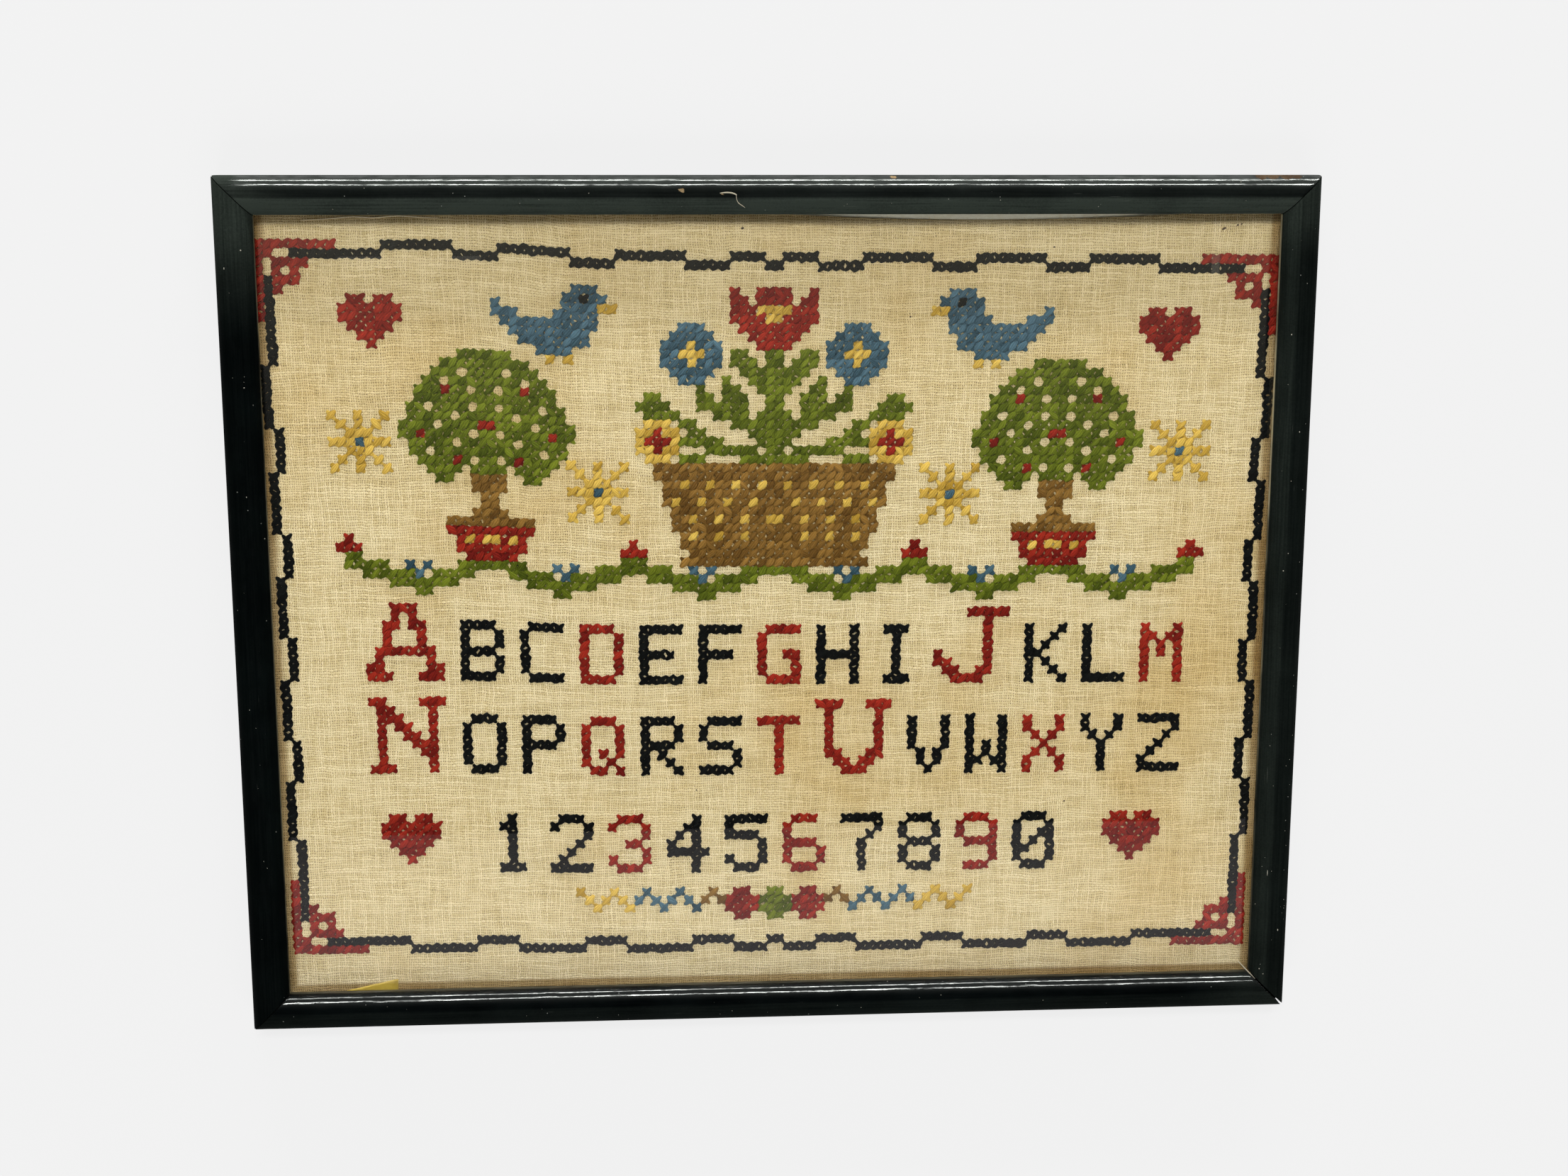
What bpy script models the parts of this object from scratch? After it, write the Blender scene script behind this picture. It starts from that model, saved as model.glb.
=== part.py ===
"""Framed cross stitch sampler, lying on its back with its face up.

+X is the picture's right, +Y its top and +Z comes out of its face. The origin is at the
middle of the frame's back, where it rests. Four mitred rails of rounded moulding hold a pane
of glass, the linen behind it and a backing board, all let into the rails' rebate from the back.
"""

import math

import bmesh
import bpy

# Driving dimensions, in metres
FRAME_WIDTH = 0.400
FRAME_HEIGHT = 0.321
RAIL_WIDTH = 0.014
RAIL_DEPTH = 0.015
REBATE_WIDTH = 0.005
REBATE_DEPTH = 0.0085
GLASS_THICKNESS = 0.002
LINEN_THICKNESS = 0.001
STITCH_ROOM = 0.0012
BOARD_THICKNESS = 0.003
GAP = 0.0003

# The moulding's rounded top: an outer shoulder, a flat crown and an inner shoulder
OUTER_SIDE_HEIGHT = 0.0095
OUTER_SHOULDER = 0.005
INNER_SHOULDER = 0.0055
LIP_EDGE_HEIGHT = 0.0101
SHOULDER_STEPS = 6

# Width of the mitre joint at the start of each rail, going round from the bottom left corner.
# The joint at the bottom right has come open.
MITRE_JOINTS = {"bottom": GAP, "right": 0.0008, "top": GAP, "left": GAP}

# Play of the glass and the board in the rebate, on each side
FITTING_PLAY = 0.0005

# The linen's cut edges lie under the lip, but its top edge sags into view right of the middle
LINEN_OVERLAP = 0.004
SAG_CENTRE = 0.086
SAG_HALF_WIDTH = 0.126
SAG_DEPTH = 0.0058

# Soft ripples of the linen, which only ever dip below its flat height
RIPPLE_DEPTH = 0.0003
LINEN_COLUMNS = 30
LINEN_ROWS = 22

SIGHT_WIDTH = FRAME_WIDTH - 2 * RAIL_WIDTH
SIGHT_HEIGHT = FRAME_HEIGHT - 2 * RAIL_WIDTH
GLASS_BOTTOM = REBATE_DEPTH - GAP - GLASS_THICKNESS
LINEN_TOP = GLASS_BOTTOM - STITCH_ROOM
LINEN_BOTTOM = LINEN_TOP - LINEN_THICKNESS
BOARD_TOP = LINEN_BOTTOM - RIPPLE_DEPTH - GAP
BOARD_BOTTOM = BOARD_TOP - BOARD_THICKNESS


def clear_scene():
    """Removes every object that the file starts with."""
    for obj in list(bpy.data.objects):
        bpy.data.objects.remove(obj)


def finish(name, color, roughness, metallic=0.0, alpha=1.0):
    """A material with one Principled BSDF."""
    material = bpy.data.materials.new(name)
    material.use_nodes = True
    shader = material.node_tree.nodes["Principled BSDF"]
    shader.inputs["Base Color"].default_value = (*color, 1.0)
    shader.inputs["Roughness"].default_value = roughness
    shader.inputs["Metallic"].default_value = metallic
    shader.inputs["Alpha"].default_value = alpha
    return material


def add_node(name, mesh_data, material, parent):
    """An object for one sub-part, carried by the sampler's empty."""
    part = bpy.data.objects.new(name, mesh_data)
    part.data.materials.append(material)
    bpy.context.scene.collection.objects.link(part)
    part.parent = parent
    return part


def mesh_from(name, points, faces):
    """A closed mesh whose faces all point outwards."""
    shape = bmesh.new()
    corners = [shape.verts.new(point) for point in points]
    for face in faces:
        shape.faces.new([corners[i] for i in face])
    bmesh.ops.recalc_face_normals(shape, faces=shape.faces)
    mesh_data = bpy.data.meshes.new(name)
    shape.to_mesh(mesh_data)
    shape.free()
    return mesh_data


def quarter(centre, reach, rise, start_degrees, end_degrees):
    """Points of a quarter ellipse, from its start angle to its end angle."""
    points = []
    for step in range(SHOULDER_STEPS + 1):
        share = step / SHOULDER_STEPS
        angle = math.radians(start_degrees + (end_degrees - start_degrees) * share)
        points.append((centre[0] + reach * math.cos(angle), centre[1] + rise * math.sin(angle)))
    return points


def moulding_section():
    """The rail's section as (distance in from its outer side, height), in order round it."""
    rebate_wall = RAIL_WIDTH - REBATE_WIDTH
    outer = quarter(
        (OUTER_SHOULDER, OUTER_SIDE_HEIGHT), OUTER_SHOULDER, RAIL_DEPTH - OUTER_SIDE_HEIGHT, 180, 90
    )
    inner = quarter(
        (RAIL_WIDTH - INNER_SHOULDER, LIP_EDGE_HEIGHT), INNER_SHOULDER, RAIL_DEPTH - LIP_EDGE_HEIGHT, 90, 0
    )
    back = [(RAIL_WIDTH, REBATE_DEPTH), (rebate_wall, REBATE_DEPTH), (rebate_wall, 0.0)]
    return [(0.0, 0.0), *outer, *inner, *back]


def rail_mesh(name, length, start_joint, end_joint):
    """A rail along +X with its outer side on the X axis, mitred at both ends.

    Half of each joint's width comes off each of the two rails that meet there.
    """
    section = moulding_section()
    start_cut = start_joint / 2 * math.sqrt(2)
    end_cut = end_joint / 2 * math.sqrt(2)
    points = [(inset + start_cut, inset, height) for inset, height in section]
    points += [(length - inset - end_cut, inset, height) for inset, height in section]
    count = len(section)
    faces = [tuple(range(count)), tuple(range(count, 2 * count))]
    for i in range(count):
        j = (i + 1) % count
        faces.append((i, j, count + j, count + i))
    return mesh_from(name, points, faces)


def add_rails(material, parent):
    """The four rails, each turned a quarter turn from the one before it."""
    half_width = FRAME_WIDTH / 2
    half_height = FRAME_HEIGHT / 2
    sides = [
        ("bottom", FRAME_WIDTH, (-half_width, -half_height)),
        ("right", FRAME_HEIGHT, (half_width, -half_height)),
        ("top", FRAME_WIDTH, (half_width, half_height)),
        ("left", FRAME_HEIGHT, (-half_width, half_height)),
    ]
    for turn, (side, length, corner) in enumerate(sides):
        next_side = sides[(turn + 1) % len(sides)][0]
        name = f"rail_{side}"
        mesh_data = rail_mesh(name, length, MITRE_JOINTS[side], MITRE_JOINTS[next_side])
        mesh_data.shade_smooth()
        mesh_data.set_sharp_from_angle(angle=math.radians(40))
        rail = add_node(name, mesh_data, material, parent)
        rail.location = (*corner, 0.0)
        rail.rotation_euler = (0.0, 0.0, math.radians(90 * turn))


def add_panel(name, bottom, thickness, material, parent):
    """A flat panel that fits the rebate with a little play."""
    width = SIGHT_WIDTH + 2 * (REBATE_WIDTH - FITTING_PLAY)
    height = SIGHT_HEIGHT + 2 * (REBATE_WIDTH - FITTING_PLAY)
    shape = bmesh.new()
    bmesh.ops.create_cube(shape, size=1.0)
    bmesh.ops.scale(shape, vec=(width, height, thickness), verts=shape.verts)
    mesh_data = bpy.data.meshes.new(name)
    shape.to_mesh(mesh_data)
    shape.free()
    panel = add_node(name, mesh_data, material, parent)
    panel.location = (0.0, 0.0, bottom + thickness / 2)


def linen_top_edge(x):
    """How far up the linen reaches at x: a straight cut with one long shallow sag."""
    straight = SIGHT_HEIGHT / 2 + LINEN_OVERLAP
    offset = (x - SAG_CENTRE) / SAG_HALF_WIDTH
    return straight - SAG_DEPTH * max(0.0, 1.0 - offset**2)


def linen_dip(x, y):
    """How far the linen dips at a point: slow ripples across it and along it."""
    across = math.sin(38.0 * x + 9.0 * y + 0.6)
    along = math.sin(52.0 * y - 14.0 * x + 1.1)
    return RIPPLE_DEPTH * (0.5 - 0.3 * across - 0.2 * along)


def add_linen(material, parent):
    """The linen: one sheet with its rippled upper and lower faces a thickness apart."""
    half_width = SIGHT_WIDTH / 2 + LINEN_OVERLAP
    bottom_edge = -(SIGHT_HEIGHT / 2 + LINEN_OVERLAP)
    across = LINEN_COLUMNS + 1
    points = []
    for height in (LINEN_TOP, LINEN_BOTTOM):
        for row in range(LINEN_ROWS + 1):
            for column in range(LINEN_COLUMNS + 1):
                x = half_width * (2 * column / LINEN_COLUMNS - 1)
                y = bottom_edge + (linen_top_edge(x) - bottom_edge) * row / LINEN_ROWS
                points.append((x, y, height - linen_dip(x, y)))
    layer = len(points) // 2
    faces = []
    for row in range(LINEN_ROWS):
        for column in range(LINEN_COLUMNS):
            i = row * across + column
            faces.append((i, i + 1, i + across + 1, i + across))
            faces.append(tuple(layer + k for k in faces[-1][::-1]))
    rim = [*range(across)]
    rim += [row * across + LINEN_COLUMNS for row in range(1, LINEN_ROWS + 1)]
    rim += [LINEN_ROWS * across + column for column in range(LINEN_COLUMNS - 1, -1, -1)]
    rim += [row * across for row in range(LINEN_ROWS - 1, 0, -1)]
    for here, following in zip(rim, rim[1:] + rim[:1]):
        faces.append((here, following, layer + following, layer + here))
    mesh_data = mesh_from("linen_cloth", points, faces)
    mesh_data.shade_smooth()
    mesh_data.set_sharp_from_angle(angle=math.radians(40))
    add_node("linen_cloth", mesh_data, material, parent)


def main():
    clear_scene()
    sampler = bpy.data.objects.new("sampler", None)
    bpy.context.scene.collection.objects.link(sampler)
    add_rails(finish("black_green_paint", (0.012, 0.016, 0.016), 0.32), sampler)
    add_panel(
        "glass_pane",
        GLASS_BOTTOM,
        GLASS_THICKNESS,
        finish("window_glass", (0.90, 0.94, 0.92), 0.04, alpha=0.15),
        sampler,
    )
    add_linen(finish("natural_linen", (0.68, 0.56, 0.36), 0.9), sampler)
    add_panel(
        "backing_board",
        BOARD_BOTTOM,
        BOARD_THICKNESS,
        finish("grey_card", (0.52, 0.47, 0.38), 0.95),
        sampler,
    )


main()
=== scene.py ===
"""Looks of a framed cross stitch sampler, built around its solids.

The sampler lies on its back: +X is the picture's right, +Y its top and +Z comes out of its face.
Crosses are worked on a grid of cells, counted from the pattern's top left corner.
"""

import math

import bpy
import numpy as np
from mathutils import Matrix, Vector


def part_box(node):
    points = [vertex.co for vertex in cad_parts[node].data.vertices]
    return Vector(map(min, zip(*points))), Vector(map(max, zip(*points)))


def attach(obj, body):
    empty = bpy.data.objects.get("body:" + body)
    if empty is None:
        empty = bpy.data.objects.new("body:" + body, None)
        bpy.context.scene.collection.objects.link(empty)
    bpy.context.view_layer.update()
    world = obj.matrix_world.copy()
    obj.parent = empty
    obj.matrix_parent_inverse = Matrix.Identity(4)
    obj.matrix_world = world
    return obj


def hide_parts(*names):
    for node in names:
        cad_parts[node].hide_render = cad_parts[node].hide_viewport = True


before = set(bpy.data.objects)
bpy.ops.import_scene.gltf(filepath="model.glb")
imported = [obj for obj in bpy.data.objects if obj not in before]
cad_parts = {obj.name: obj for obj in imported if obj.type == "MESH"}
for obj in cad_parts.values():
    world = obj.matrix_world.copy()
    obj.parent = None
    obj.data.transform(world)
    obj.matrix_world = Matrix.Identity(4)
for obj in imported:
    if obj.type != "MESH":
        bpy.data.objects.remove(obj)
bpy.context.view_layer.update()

SEED = 1934

# The camera, standing over the frame's top edge
CAMERA_LENS_MM = 48.6
CAMERA_PLACE = Vector((-0.0455, 0.1626, 0.7839))
CAMERA_AIM = Vector((0.0032, 0.0092, 0.0105))

FLOOR_SIZE = 8.0

# The moulding
RAIL_WIDTH = 0.014
RAIL_DEPTH = 0.015
REBATE_WIDTH = 0.005
REBATE_DEPTH = 0.0085
OUTER_SIDE_HEIGHT = 0.0095
OUTER_SHOULDER = 0.005
INNER_SHOULDER = 0.0055
LIP_EDGE_HEIGHT = 0.0101
LIP_BEVEL = 0.0002
MITRE_JOINTS = {"bottom": 0.0003, "right": 0.0008, "top": 0.0003, "left": 0.0003}
FRAME_WIDTH = 0.400
FRAME_HEIGHT = 0.321
CORNER_ROUNDING = 0.0011
DENTS_ON_A_RAIL = 26
FINE_SPECKS = 90

# The linen
LINEN_TOP = 0.0050
LINEN_THICKNESS = 0.001
BOARD_TOP = 0.0034
RIPPLE_DEPTH = 0.0003
SAG_CENTRE = 0.078
SAG_HALF_WIDTH = 0.126
SAG_DEPTH = 0.0061
SAG_SINK = 0.0013
CUT_EDGE_Y = 0.1505
WARP_PITCH = 0.00083
WEFT_PITCH = 0.00097
FRAYED_ENDS = 34

# The pattern of crosses
CELL = 0.00323
COLUMNS = 116
ROWS = 83
PATTERN_MIDDLE_Y = -0.0011

# How the mounted cloth is out of square: its tilt, its raised top left and its narrower foot
PATTERN_TILT = 0.009
TOP_LEFT_LIFT = 0.0034
NARROWING = 0.016

# Each leg of a cross
LOWER_LEG_WIDTH = 0.00205
UPPER_LEG_WIDTH = 0.00225
LEG_OVERSHOOT = 0.00058
LEG_THICKNESS = 0.00050
LOWER_LEG_HEIGHT = 0.00025
UPPER_LEG_HEIGHT = 0.00062
LEG_END_HEIGHT = -0.00030
LEG_STATIONS = 7
LEG_SIDES = 9
STRANDS = 3
LEG_SHARES = np.linspace(0.0, 1.0, LEG_STATIONS)
LEG_ARCH = np.sin(math.pi * LEG_SHARES) ** 0.55


def srgb(red, green, blue):
    """A colour given as it looks on a screen, 0 to 255, in linear light."""
    parts = []
    for part in (red, green, blue):
        share = part / 255
        parts.append(share / 12.92 if share <= 0.04045 else ((share + 0.055) / 1.055) ** 2.4)
    return (*parts, 1.0)


def smooth(low, high, value):
    """0 below low and 1 above high, with a smooth way between them."""
    share = np.clip((value - low) / (high - low), 0.0, 1.0)
    return share * share * (3.0 - 2.0 * share)


# Objects

def mesh_object(name, points, faces, soft=True):
    """A mesh object from its points and faces."""
    mesh = bpy.data.meshes.new(name)
    mesh.from_pydata(points, [], faces)
    mesh.validate()
    mesh.polygons.foreach_set("use_smooth", [soft] * len(mesh.polygons))
    mesh.update()
    piece = bpy.data.objects.new(name, mesh)
    bpy.context.scene.collection.objects.link(piece)
    return piece


def add_number(piece, name, values):
    """A number for each of a mesh's points, which its material reads."""
    layer = piece.data.attributes.new(name, "FLOAT", "POINT")
    layer.data.foreach_set("value", np.asarray(values, dtype=np.float32).ravel())


def add_place(piece, name, places):
    """Three numbers for each of a mesh's points, which its material reads as a place."""
    layer = piece.data.attributes.new(name, "FLOAT_VECTOR", "POINT")
    layer.data.foreach_set("vector", np.asarray(places, dtype=np.float32).ravel())


def dress(piece, material):
    """Gives a piece its material and slot, on the one body that there is."""
    piece.data.materials.clear()
    piece.data.materials.append(material)
    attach(piece, "root")


def loft_faces(rings, sides, base=0):
    """Faces over a row of rings of points, counted from a base, and over both ends."""
    faces = []
    for first in range(base, base + (rings - 1) * sides, sides):
        for turn in range(sides):
            here, beside = first + turn, first + (turn + 1) % sides
            faces.append((here, beside, beside + sides, here + sides))
    last = base + (rings - 1) * sides
    faces.append(tuple(range(base, base + sides))[::-1])
    faces.append(tuple(range(last, last + sides)))
    return faces


def tube(name, path, radius, sides=6):
    """A closed round tube through a list of points, thinner towards its ends."""
    points = []
    count = len(path)
    for step, middle in enumerate(path):
        before = Vector(path[max(step - 1, 0)])
        after = Vector(path[min(step + 1, count - 1)])
        along = (after - before).normalized()
        side = along.cross(Vector((0, 0, 1))).normalized()
        up = side.cross(along)
        share = step / (count - 1)
        reach = radius * (0.35 + 0.65 * math.sin(math.pi * share) ** 0.5)
        for turn in range(sides):
            angle = 2 * math.pi * turn / sides
            off = side * (reach * math.cos(angle)) + up * (reach * math.sin(angle))
            points.append(Vector(middle) + off)
    return mesh_object(name, points, loft_faces(count, sides))


# Materials

class Finish:
    """One material, with short calls that add and link its shader nodes."""

    def __init__(self, name, roughness=0.5):
        self.material = bpy.data.materials.new(name)
        self.material.use_nodes = True
        self.nodes = self.material.node_tree.nodes
        self.links = self.material.node_tree.links
        self.shader = self.nodes["Principled BSDF"]
        self.set("Roughness", roughness)

    def set(self, name, value):
        """Sets one of the shader's inputs, or links a node's output to it."""
        self.feed(self.shader.inputs[name], value)

    def feed(self, socket, value):
        if isinstance(value, bpy.types.NodeSocket):
            self.links.new(value, socket)
        else:
            socket.default_value = value

    def math(self, operation, *values):
        node = self.nodes.new("ShaderNodeMath")
        node.operation = operation
        for socket, value in zip(node.inputs, values):
            self.feed(socket, value)
        return node.outputs[0]

    def times(self, first, second):
        return self.math("MULTIPLY", first, second)

    def times_plus(self, first, second, third):
        return self.math("MULTIPLY_ADD", first, second, third)

    def larger(self, first, second):
        return self.math("MAXIMUM", first, second)

    def vector(self, operation, *values):
        node = self.nodes.new("ShaderNodeVectorMath")
        node.operation = operation
        for socket, value in zip(node.inputs, values):
            self.feed(socket, value)
        return node.outputs[0]

    def scaled(self, place, factor):
        node = self.nodes.new("ShaderNodeVectorMath")
        node.operation = "SCALE"
        self.feed(node.inputs[0], place)
        self.feed(node.inputs["Scale"], factor)
        return node.outputs[0]

    def parts(self, place):
        """The x, y and z of a place."""
        node = self.nodes.new("ShaderNodeSeparateXYZ")
        self.feed(node.inputs[0], place)
        return node.outputs[0], node.outputs[1], node.outputs[2]

    def join(self, x, y, z):
        node = self.nodes.new("ShaderNodeCombineXYZ")
        for socket, value in zip(node.inputs, (x, y, z)):
            self.feed(socket, value)
        return node.outputs[0]

    def object_place(self):
        return self.nodes.new("ShaderNodeTexCoord").outputs["Object"]

    def mesh_number(self, name):
        node = self.nodes.new("ShaderNodeAttribute")
        node.attribute_name = name
        return node.outputs["Fac"]

    def mesh_place(self, name):
        node = self.nodes.new("ShaderNodeAttribute")
        node.attribute_name = name
        return node.outputs["Vector"]

    def noise(self, place, scale, detail=2.0, roughness=0.5, output="Fac"):
        node = self.nodes.new("ShaderNodeTexNoise")
        self.feed(node.inputs["Vector"], place)
        self.feed(node.inputs["Scale"], scale)
        self.feed(node.inputs["Detail"], detail)
        self.feed(node.inputs["Roughness"], roughness)
        return node.outputs[output]

    def ramp(self, value, low, high):
        """0 below low and 1 above high, with a smooth way between them."""
        node = self.nodes.new("ShaderNodeMapRange")
        node.interpolation_type = "SMOOTHSTEP"
        self.feed(node.inputs["Value"], value)
        self.feed(node.inputs["From Min"], low)
        self.feed(node.inputs["From Max"], high)
        return node.outputs["Result"]

    def mix(self, share, first, second, way="MIX"):
        """A colour that goes from the first to the second."""
        node = self.nodes.new("ShaderNodeMix")
        node.data_type = "RGBA"
        node.blend_type = way
        self.feed(node.inputs[0], share)
        self.feed(node.inputs[6], first)
        self.feed(node.inputs[7], second)
        return node.outputs[2]

    def grey(self, value):
        """The same number as a colour."""
        return self.join(value, value, value)

    def bump(self, height, distance, strength=1.0):
        node = self.nodes.new("ShaderNodeBump")
        self.feed(node.inputs["Height"], height)
        node.inputs["Distance"].default_value = distance
        node.inputs["Strength"].default_value = strength
        self.set("Normal", node.outputs["Normal"])

    def dots(self, place, scale, size, share):
        """Small round dots, in about that share of the cells of a random grid."""
        node = self.nodes.new("ShaderNodeTexVoronoi")
        self.feed(node.inputs["Vector"], place)
        node.inputs["Scale"].default_value = scale
        near = self.math("LESS_THAN", node.outputs["Distance"], size)
        chance, _, _ = self.parts(node.outputs["Color"])
        return self.times(near, self.math("LESS_THAN", chance, share))


def thread_height(finish, wave, other_wave, slub, turn, flatness):
    """The height of one set of threads, which goes over and under the other set."""
    profile = finish.math("POWER", finish.math("ABSOLUTE", wave), flatness)
    side = finish.times(finish.math("SIGN", wave), other_wave)
    over = finish.times_plus(side, 0.20 * turn, 0.74)
    thickness = finish.times_plus(slub, 0.9, 0.55)
    return finish.times(finish.times(profile, over), thickness)


def plain_weave(finish, place):
    """The height of a plain weave at a place, and how thick the thread on top is there."""
    across, up, _ = finish.parts(place)
    u = finish.math("DIVIDE", across, WARP_PITCH)
    v = finish.math("DIVIDE", up, WEFT_PITCH)
    wave_u = finish.math("COSINE", finish.times(u, math.pi))
    wave_v = finish.math("COSINE", finish.times(v, math.pi))
    warp_number = finish.math("ROUND", u)
    weft_number = finish.math("ROUND", v)
    warp_slub = finish.noise(finish.join(warp_number, finish.times(v, 0.045), 3.7), 1.7, 3.0)
    weft_slub = finish.noise(finish.join(finish.times(u, 0.035), weft_number, 8.1), 1.7, 3.0)
    warp = thread_height(finish, wave_u, wave_v, warp_slub, 1, 0.68)
    weft = thread_height(finish, wave_v, wave_u, weft_slub, -1, 0.52)
    warp_on_top = finish.math("GREATER_THAN", warp, weft)
    slub = finish.mix(warp_on_top, finish.grey(weft_slub), finish.grey(warp_slub))
    return finish.larger(warp, weft), slub


def browned_and_shaded_edge(finish, across, up, blotch):
    """How brown the cloth is along the rails, in blotches, with painted shade where the lips overhang it.
    """
    sides = finish.ramp(finish.math("ABSOLUTE", across), 0.1820, 0.1850)
    low = finish.ramp(finish.times(up, -1.0), 0.1440, 0.1456)
    top = finish.times(finish.ramp(up, 0.1400, 0.1470), 0.55)
    edge = finish.larger(finish.larger(sides, low), top)
    return finish.times(edge, finish.times_plus(blotch, 0.7, 0.4))


def linen_finish():
    """Natural linen in plain weave: two sets of threads, holes between them in painted shade, slubs and
    toning, and painted shade along the rails.
    """
    finish = Finish("natural_linen", roughness=0.88)
    finish.set("Specular IOR Level", 0.25)
    finish.set("Sheen Weight", 0.15)
    finish.set("Sheen Roughness", 0.5)
    place = finish.mesh_place("weave_place")
    middle = (0.5, 0.5, 0.5)
    wander = finish.vector("SUBTRACT", finish.noise(place, 55.0, 3.0, output="Color"), middle)
    quiver = finish.vector("SUBTRACT", finish.noise(place, 420.0, 2.0, output="Color"), middle)
    place = finish.vector("ADD", place, finish.scaled(wander, 0.0030))
    place = finish.vector("ADD", place, finish.scaled(quiver, 0.00085))
    height, slub = plain_weave(finish, place)

    flat = finish.object_place()
    across, up, _ = finish.parts(flat)
    blotch = finish.noise(flat, 9.0, 4.0, 0.6)
    fine = finish.noise(flat, 900.0, 2.0, 0.6)
    threads = finish.mix(finish.ramp(slub, 0.30, 0.72), srgb(208, 188, 140), srgb(236, 220, 180))
    threads = finish.mix(finish.times(fine, 0.35), threads, srgb(190, 165, 113))
    threads = finish.mix(finish.ramp(blotch, 0.45, 0.75), threads, srgb(238, 226, 200), "MULTIPLY")
    # Darker and warmer towards the top.
    upper = finish.times(finish.ramp(up, 0.02, 0.14), 0.8)
    threads = finish.mix(upper, threads, srgb(240, 236, 226), "MULTIPLY")
    # Along the rails the threads darken: partly toning, partly painted shade under the lips.
    edge = browned_and_shaded_edge(finish, across, up, blotch)
    threads = finish.mix(edge, threads, srgb(160, 134, 84), "MULTIPLY")
    # The holes and the dips between the threads are painted dark, as painted shade in the weave.
    depth = finish.ramp(finish.noise(place, 700.0, 1.0), 0.35, 0.65)
    gaps = finish.mix(depth, srgb(84, 64, 30), srgb(150, 126, 76))
    gaps = finish.mix(edge, gaps, srgb(130, 105, 66), "MULTIPLY")
    finish.set("Base Color", finish.mix(finish.ramp(height, 0.30, 0.70), gaps, threads))
    finish.bump(finish.times_plus(fine, 0.15, height), 0.00035, 0.9)
    return finish.material


def thread_finish(name, colour, deep_and_shaded):
    """Stranded cotton in one colour, a little uneven from leg to leg, with painted shade between its
    strands.
    """
    finish = Finish(name, roughness=0.62)
    finish.set("Specular IOR Level", 0.06)
    along, around, leg = finish.parts(finish.mesh_place("strand_place"))
    fibre = finish.noise(finish.join(finish.times(along, 0.9), around, leg), 4.0, 3.0, 0.6)
    wavy = finish.times_plus(fibre, 0.9, finish.times(around, 4.0))
    strand = finish.math("POWER", finish.math("ABSOLUTE", finish.math("COSINE", wavy)), 0.7)
    patch = finish.noise(finish.object_place(), 60.0, 2.0)
    shade = finish.mesh_number("shade")
    tone = finish.times_plus(shade, 0.40, finish.times(fibre, 0.5))
    tone = finish.times_plus(patch, 0.25, tone)
    tone = finish.times_plus(strand, 0.25, tone)
    # Lit and shaded copies of the colour: painted shade between the strands, and random tone from leg to
    # leg.
    finish.set("Base Color", finish.mix(finish.ramp(tone, 0.40, 1.15), deep_and_shaded, colour))
    finish.bump(finish.times_plus(fibre, 0.6, strand), 0.00018, 0.7)
    return finish.material


def paint_colour(finish, place, brush, cloud, grit, specks, bare, lip):
    """Nearly black paint under dust and painted sheen, scratches and specks, with bare wood where it is
    worn through.
    """
    colour = finish.mix(finish.ramp(cloud, 0.35, 0.7), srgb(0, 3, 4), srgb(3, 9, 10))
    # Dust, and painted sheen where the rail's slopes mirror the room, lighten the paint to green-grey.
    dust_and_sheen = finish.times(finish.mesh_number("dust_and_sheen"), finish.times_plus(cloud, 1.1, 0.35))
    dust_and_sheen = finish.times(dust_and_sheen, finish.times_plus(grit, 0.8, 0.6))
    dust_and_sheen = finish.times(dust_and_sheen, finish.times_plus(brush, 1.8, 0.1))
    colour = finish.mix(dust_and_sheen, colour, srgb(63, 71, 64))
    scratch = finish.noise(finish.vector("MULTIPLY", place, (60.0, 2600.0, 1.0)), 1.0, 1.0)
    scratch = finish.times(finish.ramp(scratch, 0.74, 0.79), finish.ramp(cloud, 0.5, 0.62))
    colour = finish.mix(finish.times(scratch, 0.6), colour, srgb(120, 124, 116))
    colour = finish.mix(specks, colour, srgb(150, 152, 144))
    pale_wood = finish.mix(grit, srgb(150, 118, 76), srgb(206, 182, 140))
    worn_wood = finish.mix(grit, srgb(58, 44, 32), srgb(104, 82, 60))
    wood = finish.mix(finish.mesh_number("pale"), worn_wood, pale_wood)
    colour = finish.mix(bare, colour, wood)
    # The lip's inner side is made pale on some rails.
    return finish.mix(lip, colour, srgb(222, 210, 170))


def paint_gloss(finish, place, brush, dull):
    """How glossy the paint is: in patches and brushed streaks, and not where it is dull."""
    gloss = finish.noise(finish.vector("MULTIPLY", place, (150.0, 420.0, 1.0)), 1.0, 3.0, 0.6)
    gloss = finish.times_plus(finish.ramp(gloss, 0.34, 0.56), 0.75, 0.2)
    gloss = finish.times(gloss, finish.times_plus(finish.ramp(brush, 0.40, 0.56), 0.7, 0.3))
    return finish.times(gloss, finish.math("SUBTRACT", 1.0, dull))


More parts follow.
